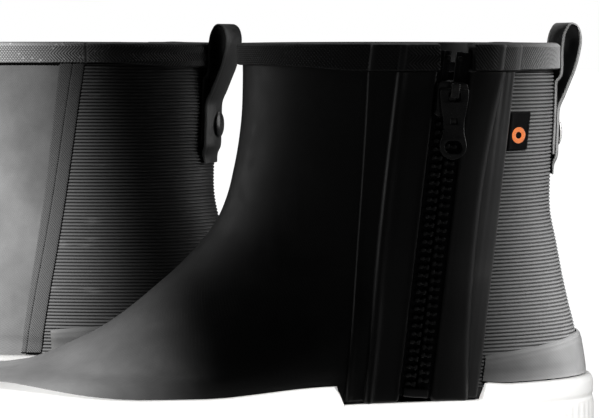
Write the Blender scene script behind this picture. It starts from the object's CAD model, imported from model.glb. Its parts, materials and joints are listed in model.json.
# A pair of black rubber ankle boots with white cup soles and a zip on the medial side.
# Lengths are in mm in the right boot's frame: toe towards -X, zip (medial) side -Y,
# lateral side +Y, up +Z, ground at z = 0. The left boot is the right one mirrored,
# turned and set beside it. Lights and camera are placed in metres.
import json
import math

import bpy
import numpy as np
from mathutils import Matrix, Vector

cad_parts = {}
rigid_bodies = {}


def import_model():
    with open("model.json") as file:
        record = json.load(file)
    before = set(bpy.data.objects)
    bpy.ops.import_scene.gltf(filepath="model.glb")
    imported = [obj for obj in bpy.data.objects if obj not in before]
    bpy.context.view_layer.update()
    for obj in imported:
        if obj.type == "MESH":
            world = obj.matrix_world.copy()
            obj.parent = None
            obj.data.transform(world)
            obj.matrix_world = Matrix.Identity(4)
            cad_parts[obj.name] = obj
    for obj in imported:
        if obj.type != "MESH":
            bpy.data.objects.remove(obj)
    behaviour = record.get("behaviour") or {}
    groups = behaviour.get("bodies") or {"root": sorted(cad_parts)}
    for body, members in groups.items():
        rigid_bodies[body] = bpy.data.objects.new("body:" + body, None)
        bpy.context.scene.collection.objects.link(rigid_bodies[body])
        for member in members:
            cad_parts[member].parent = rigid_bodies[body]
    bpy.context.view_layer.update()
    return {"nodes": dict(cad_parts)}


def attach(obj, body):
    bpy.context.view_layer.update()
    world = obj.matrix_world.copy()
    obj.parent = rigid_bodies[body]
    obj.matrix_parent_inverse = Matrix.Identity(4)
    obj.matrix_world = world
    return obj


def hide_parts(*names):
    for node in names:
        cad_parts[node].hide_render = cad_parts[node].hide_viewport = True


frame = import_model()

# =============================================================================
# Driving sizes
# =============================================================================
# The last, level by level: z, x of the toe end, x of the heel end, medial half width,
# lateral half width, place of the widest point (0 toe, 1 heel), and the exponents of the
# outline ahead of that point and behind it
STATIONS = np.array([
    [16.0, -168.0, 69.0, 42.0, 42.5, .380, 2.15, 2.60],
    [26.0, -171.5, 71.0, 44.0, 44.5, .380, 2.15, 2.55],
    [34.0, -173.0, 72.4, 45.1, 45.5, .382, 2.12, 2.48],
    [38.0, -172.2, 72.8, 45.2, 45.6, .385, 2.10, 2.45],
    [41.0, -168.5, 72.7, 44.9, 45.3, .390, 2.08, 2.42],
    [43.2, -161.0, 72.5, 44.5, 44.9, .400, 2.05, 2.40],
    [44.6, -150.0, 72.3, 44.1, 44.5, .415, 2.02, 2.37],
    [46.0, -138.5, 72.1, 43.7, 44.1, .430, 2.00, 2.34],
    [49.0, -127.5, 71.6, 42.9, 43.3, .455, 1.96, 2.30],
    [53.0, -118.0, 70.9, 41.9, 42.3, .480, 1.92, 2.25],
    [58.5, -106.5, 69.8, 40.9, 41.2, .510, 1.88, 2.20],
    [66.0, -95.5, 67.9, 40.0, 40.2, .540, 1.84, 2.12],
    [76.0, -83.5, 65.6, 39.5, 39.4, .555, 1.82, 2.06],
    [88.0, -70.8, 63.2, 39.9, 39.0, .560, 1.85, 2.02],
    [101.0, -61.8, 60.6, 40.6, 39.2, .555, 1.90, 2.00],
    [116.0, -57.2, 60.6, 41.4, 40.3, .535, 1.95, 2.00],
    [133.0, -54.4, 61.3, 42.6, 42.2, .515, 2.00, 2.00],
    [149.0, -53.7, 61.6, 43.9, 43.9, .500, 2.00, 2.00],
    [164.0, -53.9, 61.6, 45.2, 45.2, .500, 2.00, 2.00]])
TWO_APART = (np.vstack([STATIONS[1:], STATIONS[-1:]])
             - np.vstack([STATIONS[:1], STATIONS[:-1]]))
SLOPES = TWO_APART / TWO_APART[:, :1]

COLLAR = 162.0              # top edge of the boot
BAND_LOW = COLLAR - 9.8     # lower edge of the collar binding
STRIP_TOP = BAND_LOW - 0.3
UPPER_LOW = 16.0
UPPER_TOP = 155.8           # the upper ends under the binding
FEATHER_Z = 38.0            # level whose outline the sole follows

WALL = 1.6
LINING_GAP = 0.3
LINING = 2.2
INSIDE = -WALL - LINING_GAP - LINING    # offset of the lining's inner face

# The zip's centre line: x, distance from the middle towards the medial side, z
ZIP_BOTTOM = np.array([2.1, 37.0, 35.0])
ZIP_TOP = np.array([14.2, 42.9, 149.0])
ZIP_TWIST = 0.08            # narrowing of the flat zip panel per mm towards the heel
ZIP_RISE = ZIP_TOP - ZIP_BOTTOM
ZIP_LENGTH = float(np.linalg.norm(ZIP_RISE))
SLIDER_UP = ZIP_LENGTH - 3.4
PULL_HINGE = -5.6           # depth of the pull tab's hinge in the zip's frame

STRAP_THICK = 1.05
STRAP_GAP = 0.4             # between the upper and the strap
RIVET_Z = 129.0

CUP_LOW = 7.2               # underside of the sidewall
CUP_OUT = 4.0               # how far the sidewall stands out from the last


# =============================================================================
# Shaping functions
# =============================================================================
def smooth(share):
    share = np.clip(share, 0, 1)
    return share * share * (3 - 2 * share)


def mix(start, end, share):
    return start + (end - start) * share


def step(value, edge, width=1.1):
    return smooth((value - edge) / width + 0.5)


def window(value, low, high):
    return step(value, low) * step(-value, -high)


def bead(distance, centre, width):
    """a rounded ridge of height 1"""
    return np.exp(-((distance - centre) / width) ** 2)


def drop(distance, radius):
    """how far a rounded edge lies below the flat, at a distance from the edge"""
    share = np.clip(1 - distance / radius, 0, 1)
    return radius * (1 - np.sqrt(np.maximum(0, 1 - share * share)))


def lengths(points):
    """running length along a row of points"""
    return np.append(0, np.cumsum(np.linalg.norm(np.diff(points, axis=0), axis=1)))


def uv_map(u, v):
    return np.stack(np.broadcast_arrays(u, v), -1)


def closed(grid):
    """the grid with its first column repeated at the end"""
    return np.concatenate([grid, grid[:, :1]], 1)


def curve_through(points, steps, cyclic=False):
    """Catmull-Rom curve through points, with so many steps from each to the next"""
    points = np.array(points, float)
    if cyclic:
        padded = np.vstack([points[-1:], points, points[:2]])
    else:
        padded = np.vstack([points[:1], points, points[-1:]])
    t = (np.arange(steps) / steps)[:, None]
    curve = np.concatenate([
        0.5 * (2 * b + (c - a) * t + (2 * a - 5 * b + 4 * c - d) * t ** 2
               + (3 * b - a - 3 * c + d) * t ** 3)
        for a, b, c, d in zip(padded, padded[1:], padded[2:], padded[3:])])
    return curve if cyclic else np.vstack([curve, points[-1:]])


# =============================================================================
# The last: the surface everything is built on
# =============================================================================
def station(z):
    """the columns of STATIONS at height z, by cubic interpolation"""
    z = np.clip(np.asarray(z, float), STATIONS[0, 0], STATIONS[-1, 0])
    i = np.clip(np.searchsorted(STATIONS[:, 0], z, side="right") - 1, 0, len(STATIONS) - 2)
    gap = STATIONS[i + 1, 0] - STATIONS[i, 0]
    t = ((z - STATIONS[i, 0]) / gap)[..., None]
    gap = gap[..., None]
    t2 = t * t
    t3 = t2 * t
    return ((2 * t3 - 3 * t2 + 1) * STATIONS[i] + (t3 - 2 * t2 + t) * gap * SLOPES[i]
            + (3 * t2 - 2 * t3) * STATIONS[i + 1] + (t3 - t2) * gap * SLOPES[i + 1])


def zip_share(z):
    """0 at the foot of the zip, 1 at its top"""
    return (np.asarray(z, float) - ZIP_BOTTOM[2]) / ZIP_RISE[2]


def zip_x(z):
    return mix(ZIP_BOTTOM[0], ZIP_TOP[0], zip_share(z))


def zip_width(z):
    return mix(ZIP_BOTTOM[1], ZIP_TOP[1], zip_share(z))


def half_width(x, z, side):
    """half width of the last; side is -1 medial, 1 lateral"""
    values = station(z)
    toe, heel, medial, lateral, widest, front_power, rear_power = [
        values[..., k] for k in range(1, 8)]
    along = np.clip((x - toe) / (heel - toe), 0, 1)
    ahead = along < widest
    away = np.where(ahead, (widest - along) / widest, (along - widest) / (1 - widest))
    power = np.where(ahead, front_power, rear_power)
    width = np.where(side < 0, medial, lateral) * np.maximum(0, 1 - away ** power) ** (1 / power)
    waist = np.where(side < 0, 5, 3.5) * smooth((70 - z) / 40) * bead(x, -8, 38)
    width = width - waist * np.minimum(1, width / 20)
    # the medial side is flat where the zip runs
    from_zip = x - zip_x(z)
    flat = np.where(side < 0, 1 - smooth((np.abs(from_zip) - 13) / 14), 0)
    return width * (1 - flat) + (zip_width(z) - ZIP_TWIST * from_zip) * flat


def last_point(girth, z):
    """girth runs from 0 at the heel along the medial side to 0.5 at the toe, and back
    along the lateral side to 1"""
    girth = np.mod(np.asarray(girth, float), 1.0)
    z = np.asarray(z, float) + 0 * girth
    values = station(z)
    toe, heel = values[..., 1], values[..., 2]
    side = np.where(girth < 0.5, -1.0, 1.0)
    angle = np.where(girth < 0.5, girth, 1 - girth) * 2 * np.pi
    x = toe + (heel - toe) * (1 + np.cos(angle)) / 2
    return np.stack([x, side * half_width(x, z, side), z], -1)


def last_normal(girth, z):
    z = np.asarray(z, float)
    normal = np.cross(last_point(girth, z + .6) - last_point(girth, z - .6),
                      last_point(girth + .006, z) - last_point(girth - .006, z))
    return normal / np.maximum(np.linalg.norm(normal, axis=-1, keepdims=True), 1e-9)


def off_last(girth, z, offset):
    """point of the last moved outwards by offset"""
    return last_point(girth, z) + np.asarray(offset, float)[..., None] * last_normal(girth, z)


def medial_girth(x, z):
    values = station(z)
    toe, heel = values[..., 1], values[..., 2]
    return np.arccos(np.clip(2 * (x - toe) / (heel - toe) - 1, -1, 1)) / (2 * np.pi)


def lateral_girth(x, z):
    return 1 - medial_girth(x, z)


def heel_x(z):
    return float(station(z)[2])


# --- edges of the panels: x as a function of z
def front_base_edge(z):
    return zip_x(z) - 25.7 - 4.1 * np.maximum(0, zip_share(z)) ** 2.2


def front_facing_edge(z):
    return zip_x(z) + mix(-19.1, -20.4, zip_share(z))


def rear_facing_edge(z):
    share = zip_share(z)
    return zip_x(z) + 16 + np.where(share > 0.62, 19.4, 11.2) * (share - 0.62) ** 2


def rear_base_edge(z):
    return zip_x(z) + 23.8


def seam_line(low_x, high_x):
    """straight line on the lateral side from z 39 to z 150"""
    return lambda z: mix(low_x, high_x, (z - 39.0) / 111.0)


tape_front_edge = seam_line(-6.9, 11.2)
lateral_seam = seam_line(-4.7, 16.3)
tape_rear_edge = seam_line(1.4, 20.8)


def plain_feather(x, side):
    """height of the sole's top edge, without the dip below the zip"""
    medial = 3 * smooth((x + 75) / 45) - 1.4 * smooth((x - 20) / 20)
    return 38 + 4.5 * smooth((-95 - x) / 60) + np.where(
        side < 0, medial, 1.6 * smooth((x - 15) / 25))


def feather(x, side):
    foot = zip_x(36)
    dip = np.where(side < 0, step(x, foot - 28, 2) * step(-x, -foot - 25.2, 2), 0)
    return mix(plain_feather(x, side), 34.4, dip)


def toe_spring(x):
    return 6 * np.maximum(0, (-95 - x) / 80) ** 1.7


# --- the zip's frame: x across towards the heel, y into the boot, z up the chain
def rotation(about_x, about_y, about_z):
    cos_x, sin_x = math.cos(about_x), math.sin(about_x)
    cos_y, sin_y = math.cos(about_y), math.sin(about_y)
    cos_z, sin_z = math.cos(about_z), math.sin(about_z)
    return (np.array([[cos_z, -sin_z, 0], [sin_z, cos_z, 0], [0, 0, 1]])
            @ np.array([[cos_y, 0, sin_y], [0, 1, 0], [-sin_y, 0, cos_y]])
            @ np.array([[1, 0, 0], [0, cos_x, -sin_x], [0, sin_x, cos_x]]))


LEAN_OUT = math.atan2(ZIP_RISE[1], math.hypot(ZIP_RISE[0], ZIP_RISE[2]))
LEAN_BACK = math.atan2(ZIP_RISE[0], ZIP_RISE[2])
ZIP_TURN = rotation(LEAN_OUT, LEAN_BACK, 0) @ rotation(0, 0, math.atan(ZIP_TWIST))
ZIP_ORIGIN = ZIP_BOTTOM * [1, -1, 1]
PULL_TURN = rotation(-LEAN_OUT, math.radians(-4.5), 0)


def in_zip(points):
    return np.asarray(points, float) @ ZIP_TURN.T + ZIP_ORIGIN


def in_slider(points):
    return in_zip(points + np.array([0, 0, SLIDER_UP]))


def in_pull(points):
    return in_zip(points @ PULL_TURN.T + [0, PULL_HINGE, SLIDER_UP])


def left_place(points):
    """mirrors, turns and moves points from the right boot to the left one"""
    angle = math.radians(-23.5)
    cos, sin = math.cos(angle), math.sin(angle)
    x, y, z = points[:, 0], -points[:, 1], points[:, 2]
    return np.stack([x * cos - y * sin - 108.5, x * sin + y * cos + 126.5, z], -1)


# =============================================================================
# Mesh building
# =============================================================================
class Mesh:
    """points, quads and polygons in the right boot's frame, with a texture map in mm"""

    def __init__(self):
        self.points, self.count = [], 0
        self.quads, self.quad_uvs = [], []
        self.polygons, self.polygon_uvs = [], []

    def add(self, points):
        """adds an array of points and returns their numbers in the same layout"""
        points = np.asarray(points, float)
        ids = self.count + np.arange(points[..., 0].size).reshape(points.shape[:-1])
        self.points.append(points.reshape(-1, 3))
        self.count += ids.size
        return ids

    def add_quads(self, quads, uvs):
        self.quads.append(quads)
        self.quad_uvs.append(uvs)

    def grid(self, ids, uv, flip=False):
        corners = [np.s_[:-1, :-1], np.s_[:-1, 1:], np.s_[1:, 1:], np.s_[1:, :-1]]
        if flip:
            corners.reverse()
        self.add_quads(np.stack([ids[c] for c in corners], -1).reshape(-1, 4),
                       np.stack([uv[c] for c in corners], -2).reshape(-1, 4, 2))

    def tube(self, rings, uv, flip=True):
        """wall through closed rings of points"""
        ids = self.add(rings)
        self.grid(closed(ids), uv, flip)
        return ids

    def face(self, ids, uv):
        self.polygons.append(np.array(ids, int))
        self.polygon_uvs.append(np.array(uv, float))

    def append(self, other, place=np.asarray, flip=False):
        """adds the quads of another mesh"""
        first = self.count
        order = -1 if flip else 1
        self.add(place(np.concatenate(other.points)))
        for quads, uvs in zip(other.quads, other.quad_uvs):
            self.add_quads(quads[:, ::order] + first, uvs[:, ::order])

    def inside_out(self):
        """whether the enclosed volume comes out negative"""
        points = np.concatenate(self.points)
        a, b, c, d = points[np.concatenate(self.quads)].transpose(1, 0, 2)
        volume = np.einsum("ij,ij", a, np.cross(b, c) + np.cross(c, d))
        for ids in self.polygons:
            for k in range(1, len(ids) - 1):
                volume += points[ids[0]] @ np.cross(points[ids[k]], points[ids[k + 1]])
        return volume < 0

    def build(self, name, side, flip):
        points = np.concatenate(self.points)
        if side == "left":
            points = left_place(points)
        order = -1 if flip else 1
        quads = np.concatenate(self.quads)[:, ::order]
        quad_uvs = np.concatenate(self.quad_uvs)[:, ::order]
        corners = np.concatenate([quads.ravel()] + [ids[::order] for ids in self.polygons])
        uvs = np.concatenate([quad_uvs.reshape(-1, 2)] + [uv[::order] for uv in self.polygon_uvs])
        sizes = np.array([4] * len(quads) + [len(ids) for ids in self.polygons])
        starts = np.cumsum(sizes) - sizes
        data = bpy.data.meshes.new(name)
        data.vertices.add(len(points))
        data.vertices.foreach_set("co", (points / 1000).astype(np.float32).ravel())
        data.loops.add(len(corners))
        data.loops.foreach_set("vertex_index", corners.astype(np.int32))
        data.polygons.add(len(sizes))
        data.polygons.foreach_set("loop_start", starts.astype(np.int32))
        data.polygons.foreach_set("loop_total", sizes.astype(np.int32))
        data.update(calc_edges=True)
        layer = data.uv_layers.new(name="mm")
        layer.data.foreach_set("uv", (uvs / 100).astype(np.float32).ravel())
        data.validate()
        return data


MATERIALS = {}


def piece(name, mesh, material, node=None, body="boot", creased=True):
    """makes the right and the left copy of a piece, each on its own body; node is the CAD
    piece it replaces, slot defaults to the material's name"""
    inside_out = mesh.inside_out()
    for side in ("right", "left"):
        data = mesh.build(f"{side}_{name}", side, flip=(side == "left") != inside_out)
        ob = bpy.data.objects.new(f"{side}_{name}", data)
        bpy.context.scene.collection.objects.link(ob)
        data.materials.append(MATERIALS[material])
        data.polygons.foreach_set("use_smooth", np.ones(len(data.polygons), bool))
        if creased:
            data.set_sharp_from_angle(angle=math.radians(40))
        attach(ob, f"{side}_{body}")
        if node:
            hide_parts(f"{side}_{node}")


def sheet(outer, inner, uv, hem=0.0):
    """closed sheet between two grids of points; hem is how far the map runs on at the rims"""
    mesh = Mesh()
    top, under = mesh.add(outer), mesh.add(inner)
    up, across = np.array([0, hem]), np.array([hem, 0])
    mesh.grid(top, uv)
    mesh.grid(under, uv, flip=True)
    mesh.grid(np.stack([under[0], top[0]]), np.stack([uv[0] - up, uv[0]]))
    mesh.grid(np.stack([top[-1], under[-1]]), np.stack([uv[-1], uv[-1] + up]))
    mesh.grid(np.stack([under[:, 0], top[:, 0]], 1),
              np.stack([uv[:, 0] - across, uv[:, 0]], 1))
    mesh.grid(np.stack([top[:, -1], under[:, -1]], 1),
              np.stack([uv[:, -1], uv[:, -1] + across], 1))
    return mesh


def shell(girth, z, outer, inner, u=None):
    """closed sheet over the last between an outer and an inner offset; without u the map
    runs along the mean length of the rows"""
    girth, z = np.broadcast_arrays(girth, z)
    outer_face = off_last(girth, z, outer)
    if u is None:
        gaps = np.linalg.norm(np.diff(outer_face, axis=1), axis=-1)
        u = np.append(0, np.cumsum(gaps, 1).mean(0))
    return sheet(outer_face, off_last(girth, z, inner), uv_map(u, z), hem=0.3)


def flat_sheet(across, front, along, mirror):
    """closed sheet in the zip's frame between the depth front and a flat back"""
    back = 0.78
    across, front, along = np.broadcast_arrays(across, front, along)
    outer = np.stack([across, front, along], -1)
    inner = np.stack([across, np.full(across.shape, back), along], -1)
    if mirror:
        outer = outer[:, ::-1] * [-1, 1, 1]
        inner = inner[:, ::-1] * [-1, 1, 1]
    return sheet(in_zip(outer), in_zip(inner), outer[..., [0, 2]])


def add_capped_rings(mesh, rings, uv):
    """closed solid through rings, with a fan of triangles over each end"""
    ids = mesh.tube(rings, uv)
    for end in (0, -1):
        ring = rings[end]
        centre = ring.mean(0)
        middle = mesh.add(centre)
        order = -1 if end else 1
        for k in range(len(ring)):
            after = (k + 1) % len(ring)
            corners = [ids[end, k], ids[end, after], middle]
            uvs = [ring[k, :2], ring[after, :2], centre[:2]]
            mesh.face(corners[::order], uvs[::order])


def add_box(mesh, low, high, radius, place=np.asarray, segments=3):
    """adds a box with rounded edges and corners, each with so many segments"""
    low, high = np.array(low, float), np.array(high, float)
    centre, half = (low + high) / 2, (high - low) / 2
    radius = min(radius, half.min() * 0.999)
    flat = half - radius
    bend = np.sin(np.pi / 2 * (1 - np.arange(segments + 1) / segments))
    lower = -flat[:, None] - radius * bend
    stops = np.concatenate([lower, -lower[:, ::-1]], 1)
    last = 2 * segments + 1
    numbers, quads = {}, []
    for i, j in np.ndindex(last, last):
        for turn in range(3):
            for end in (0, last):
                square = (i, j, end), (i + 1, j, end), (i + 1, j + 1, end), (i, j + 1, end)
                quad = [numbers.setdefault(tuple(np.roll(corner, turn)), len(numbers))
                        for corner in square]
                quads.append(quad if end else quad[::-1])
    quads = np.array(quads)
    points = stops[[0, 1, 2], np.array(list(numbers))]
    core = np.clip(points, -flat, flat)
    away = points - core
    away = away / np.linalg.norm(away, axis=1, keepdims=True) * radius
    points = centre + (core + away)
    a, b, c, d = points[quads].transpose(1, 0, 2)
    # faces that shrank to nothing in the corners are left out
    quads = quads[np.linalg.norm(np.cross(c - a, d - b), axis=1) > 1e-7]
    first = mesh.count
    mesh.add(place(points))
    mesh.add_quads(quads + first, points[quads][:, :, [0, 2]])


def add_plate(mesh, outline, front, back, bevel, place, holes=(), segments=3):
    """adds a bevelled plate between the depths front and back; outline and holes are
    lists of (x, z)"""
    curve = bpy.data.curves.new("tmp", "CURVE")
    curve.dimensions = "2D"
    curve.fill_mode = "BOTH"
    curve.extrude = (back - front) / 2 - bevel
    curve.bevel_depth = bevel
    curve.bevel_resolution = segments
    curve.offset = -bevel
    for loop in [outline, *holes]:
        spline = curve.splines.new("POLY")
        spline.points.add(len(loop) - 1)
        for k, (x, z) in enumerate(loop):
            spline.points[k].co = (x, z, 0, 1)
        spline.use_cyclic_u = True
    ob = bpy.data.objects.new("tmp", curve)
    bpy.context.scene.collection.objects.link(ob)
    bpy.context.view_layer.update()
    graph = bpy.context.evaluated_depsgraph_get()
    data = bpy.data.meshes.new_from_object(ob.evaluated_get(graph))
    points = np.array([vertex.co for vertex in data.vertices])
    # weld the doubled rim vertices
    keys = list(map(tuple, np.round(points, 4)))
    first = {}
    for i, key in enumerate(keys):
        first.setdefault(key, i)
    numbers = {key: n for n, key in enumerate(first)}
    points = points[list(first.values())]
    # the curve's plane becomes x and z, its depth y
    points = np.stack([points[:, 0], (front + back) / 2 - points[:, 2], points[:, 1]], -1)
    ids = mesh.add(place(points))
    for polygon in data.polygons:
        ring = [numbers[keys[i]] for i in polygon.vertices]
        ring = [i for i, after in zip(ring, ring[1:] + ring[:1]) if i != after]
        if len(set(ring)) >= 3:
            mesh.face(ids[ring], points[ring][:, [0, 2]])
    bpy.data.objects.remove(ob)
    bpy.data.curves.remove(curve)
    bpy.data.meshes.remove(data)


# =============================================================================
# Materials
# =============================================================================
class Shader:
    """a material whose nodes are written as formulas"""

    def __init__(self, name):
        self.name = name
        self.material = bpy.data.materials.new(name)
        self.material.use_nodes = True
        self.tree = self.material.node_tree
        self.tree.nodes.clear()
        output = self.node("ShaderNodeOutputMaterial")
        self.surface = self.node("ShaderNodeBsdfPrincipled")
        self.tree.links.new(self.surface.outputs[0], output.inputs[0])

    def put(self, socket, value):
        """links a socket or sets a value; an RGB colour gets its alpha"""
        if isinstance(value, bpy.types.NodeSocket):
            self.tree.links.new(value, socket)
        elif socket.type == "RGBA" and len(value) == 3:
            socket.default_value = (*value, 1)
        else:
            socket.default_value = value

    def node(self, kind, inputs=None, **settings):
        node = self.tree.nodes.new(kind)
        for key, value in settings.items():
            setattr(node, key, value)
        for key, value in (inputs or {}).items():
            self.put(node.inputs[key], value)
        return node

    def math(self, operation, *values, clamp=False):
        return self.node("ShaderNodeMath", dict(enumerate(values)),
                         operation=operation, use_clamp=clamp).outputs[0]

    def times(self, first, second, clamp=False):
        return self.math("MULTIPLY", first, second, clamp=clamp)

    def plus(self, first, second, clamp=False):
        return self.math("ADD", first, second, clamp=clamp)

    def blend(self, share, first, second):
        """colour between first and second"""
        return self.node("ShaderNodeMix", {0: share, 6: first, 7: second},
                         data_type="RGBA").outputs[2]

    def position(self, stretch=None):
        """object position in metres, scaled by stretch"""
        position = self.node("ShaderNodeTexCoord").outputs["Object"]
        if stretch is None:
            return position
        return self.node("ShaderNodeMapping", {0: position, "Scale": stretch}).outputs[0]

    def noise(self, scale, detail=3, rough=0.55, stretch=None):
        return self.node("ShaderNodeTexNoise", {
            "Scale": scale, "Detail": detail, "Roughness": rough,
            "Vector": self.position(stretch)}).outputs["Fac"]

    def split(self, vector):
        return self.node("ShaderNodeSeparateXYZ", {0: vector}).outputs

    def uv(self):
        """u and v of the texture map in mm"""
        parts = self.split(self.node("ShaderNodeUVMap", uv_map="mm").outputs[0])
        return self.times(parts[0], 100.0), self.times(parts[1], 100.0)

    def wave(self, value, pitch):
        """sine of a length in mm, -1..1"""
        return self.math("SINE", self.math("MULTIPLY_ADD", value, 2 * math.pi / pitch, 0.0))

    def ridges(self, value, pitch):
        """rounded ridges, one to each pitch, 0..1"""
        return self.math("ABSOLUTE", self.wave(value, pitch * 2))

    def bump(self, height, strength, distance, normal=None):
        inputs = {"Strength": strength, "Distance": distance, "Height": height}
        if normal is not None:
            inputs["Normal"] = normal
        return self.node("ShaderNodeBump", inputs).outputs[0]

    def ramp(self, value, over, to=(0.0, 1.0)):
        """maps the range over to the range to"""
        return self.node("ShaderNodeMapRange", {
            "Value": value, "From Min": over[0], "From Max": over[1],
            "To Min": to[0], "To Max": to[1]}).outputs[0]

    def convexity(self, over):
        pointiness = self.node("ShaderNodeNewGeometry").outputs["Pointiness"]
        return self.ramp(pointiness, over=over)

    def edge(self):
        """1 on worn convex edges"""
        return self.convexity(over=(0.505, 0.56))

    def done(self, **inputs):
        """sets the surface's inputs, named with _ for each space"""
        for key, value in inputs.items():
            self.put(self.surface.inputs[key.replace("_", " ")], value)
        MATERIALS[self.name] = self.material


def tint(colour, factor):
    return tuple(min(1, part * factor) for part in colour)


def around(middle, below, above):
    return (middle - below, middle + above)


def rubber(name, grey, roughness, specular, grain, cloth, relief):
    """black vulcanised rubber: blotches, bloom, fine grain, optional cloth imprint (cloth)
    and optional darkened hollows and lightened crests (relief)"""
    mat = Shader(name)
    colour = (grey,) * 3
    dust_colour = (0.085, 0.083, 0.08)
    coarse = mat.noise(scale=26, detail=4, rough=0.6)
    medium = mat.noise(scale=170, detail=3, rough=0.6)
    fine = mat.noise(scale=1700, detail=2, rough=0.6)
    base = mat.blend(mat.ramp(coarse, over=(0.35, 0.7)), tint(colour, 0.8), tint(colour, 1.35))
    # pale bloom in patches and on worn edges
    bloom = mat.times(mat.ramp(coarse, over=(0.52, 0.75)), mat.ramp(medium, over=(0.45, 0.7)))
    wear = mat.plus(mat.times(bloom, 0.25), mat.times(mat.edge(), 0.22), clamp=True)
    base = mat.blend(mat.times(wear, 0.35), base, dust_colour)
    if relief:
        crest = mat.math("MINIMUM", mat.convexity(over=(0.44, 0.60)), 1.0)
        crest = mat.math("MAXIMUM", crest, 0.0)
        base = mat.blend(mat.times(crest, relief), tint(colour, 0.25), tint(colour, 2.6))
    rough = mat.ramp(medium, over=(0.3, 0.7), to=around(roughness, 0.05, 0.07))
    rough = mat.plus(rough, mat.times(wear, 0.12), clamp=True)
    height = mat.plus(mat.times(fine, 0.6), mat.times(medium, 0.5))
    normal = mat.bump(height, strength=grain, distance=0.00012)
    if cloth:
        # plain-weave imprint of uneven depth
        u, v = mat.uv()
        weave = mat.times(mat.wave(u, pitch=1.3), mat.wave(v, pitch=1.1))
        fibres = mat.times(mat.noise(scale=1250, detail=2, rough=0.6), 1.2)
        depth = mat.ramp(medium, over=(0.3, 0.75), to=(0.5, 1.2))
        normal = mat.bump(mat.times(mat.plus(weave, fibres), depth),
                          strength=cloth, distance=0.00009, normal=normal)
    mat.done(Base_Color=base, Roughness=rough, Specular_IOR_Level=specular, Normal=normal)


# --- weaves: height of the cloth from the texture map and the pitches along u and v
def twill(mat, u, v, u_pitch, v_pitch):
    """diagonal wales crossed by the yarn"""
    wales = mat.ridges(mat.plus(u, v), u_pitch)
    yarn = mat.wave(mat.math("SUBTRACT", u, v), v_pitch * 0.9)
    return mat.plus(wales, mat.times(yarn, 0.25))


def knit(mat, u, v, u_pitch, v_pitch):
    """columns of small v-shaped loops"""
    slant = mat.plus(v, mat.math("PINGPONG", u, u_pitch / 2))
    return mat.plus(mat.times(mat.ridges(slant, v_pitch), 0.6),
                    mat.times(mat.ridges(u, u_pitch), 0.6))


def cord(mat, u, v, u_pitch, v_pitch):
    return mat.plus(mat.ridges(u, u_pitch), mat.times(mat.wave(v, v_pitch), 0.3))


def plain(mat, u, v, u_pitch, v_pitch):
    warp = mat.wave(u, u_pitch)
    weft = mat.wave(v, v_pitch)
    return mat.plus(mat.times(mat.times(warp, weft), 0.7), mat.times(mat.plus(warp, weft), 0.2))


def fabric(name, colour, weave, pitches, strength, roughness, sheen, mottle=1.25):
    mat = Shader(name)
    height = weave(mat, *mat.uv(), *pitches)
    fine = mat.noise(scale=900, detail=3, rough=0.7)
    if weave is twill:
        hollow = tint(colour, 0.45)
    else:
        patches = mat.ramp(mat.noise(scale=60), over=(0.3, 0.7))
        hollow = mat.blend(patches, tint(colour, 0.78), tint(colour, mottle))
    crest = mat.ramp(height, over=(-0.1, 0.9), to=(0.0, 0.75))
    mat.done(Base_Color=mat.blend(crest, hollow, tint(colour, 1.8)),
             Roughness=mat.ramp(fine, over=(0.2, 0.8), to=around(roughness, 0.08, 0.06)),
             Specular_IOR_Level=0.3, Sheen_Weight=sheen, Sheen_Roughness=0.5,
             Normal=mat.bump(mat.plus(height, mat.times(fine, 0.5)),
                             strength=strength, distance=0.00022))


def enamel(name, colour, roughness):
    """painted die casting: slight orange peel, brighter worn edges and fine scratches"""
    mat = Shader(name)
    bare_colour = (0.2, 0.195, 0.19)
    peel = mat.noise(scale=420, detail=2, rough=0.5)
    patches = mat.noise(scale=90, detail=4, rough=0.6)
    scratches = mat.noise(scale=900, detail=2, rough=0.7, stretch=(1, 1, 14))
    wear = mat.times(mat.edge(), mat.ramp(patches, over=(0.42, 0.62)), clamp=True)
    paint = mat.blend(mat.ramp(patches, over=(0.3, 0.7)), tint(colour, 0.8), tint(colour, 1.25))
    rough = mat.ramp(scratches, over=(0.35, 0.75), to=around(roughness, 0.04, 0.12))
    height = mat.plus(mat.times(peel, 0.7), mat.times(scratches, 0.25))
    mat.done(Base_Color=mat.blend(wear, paint, bare_colour),
             Roughness=mat.plus(rough, mat.times(wear, 0.1)), Metallic=mat.times(wear, 0.6),
             Specular_IOR_Level=0.6, Coat_Weight=0.35, Coat_Roughness=0.12,
             Normal=mat.bump(height, strength=0.25, distance=0.0001))


def plastic(name, colour, roughness):
    mat = Shader(name)
    worn_colour = (0.1, 0.1, 0.1)
    fine = mat.noise(scale=700, detail=2, rough=0.5)
    patches = mat.noise(scale=120, detail=3, rough=0.6)
    base = mat.blend(mat.ramp(patches, over=(0.3, 0.7)), tint(colour, 0.8), tint(colour, 1.4))
    mat.done(Base_Color=mat.blend(mat.times(mat.edge(), 0.25), base, worn_colour),
             Roughness=mat.ramp(patches, over=(0.3, 0.7), to=around(roughness, 0.05, 0.08)),
             Specular_IOR_Level=0.5, Normal=mat.bump(fine, strength=0.2, distance=0.00008))


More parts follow.
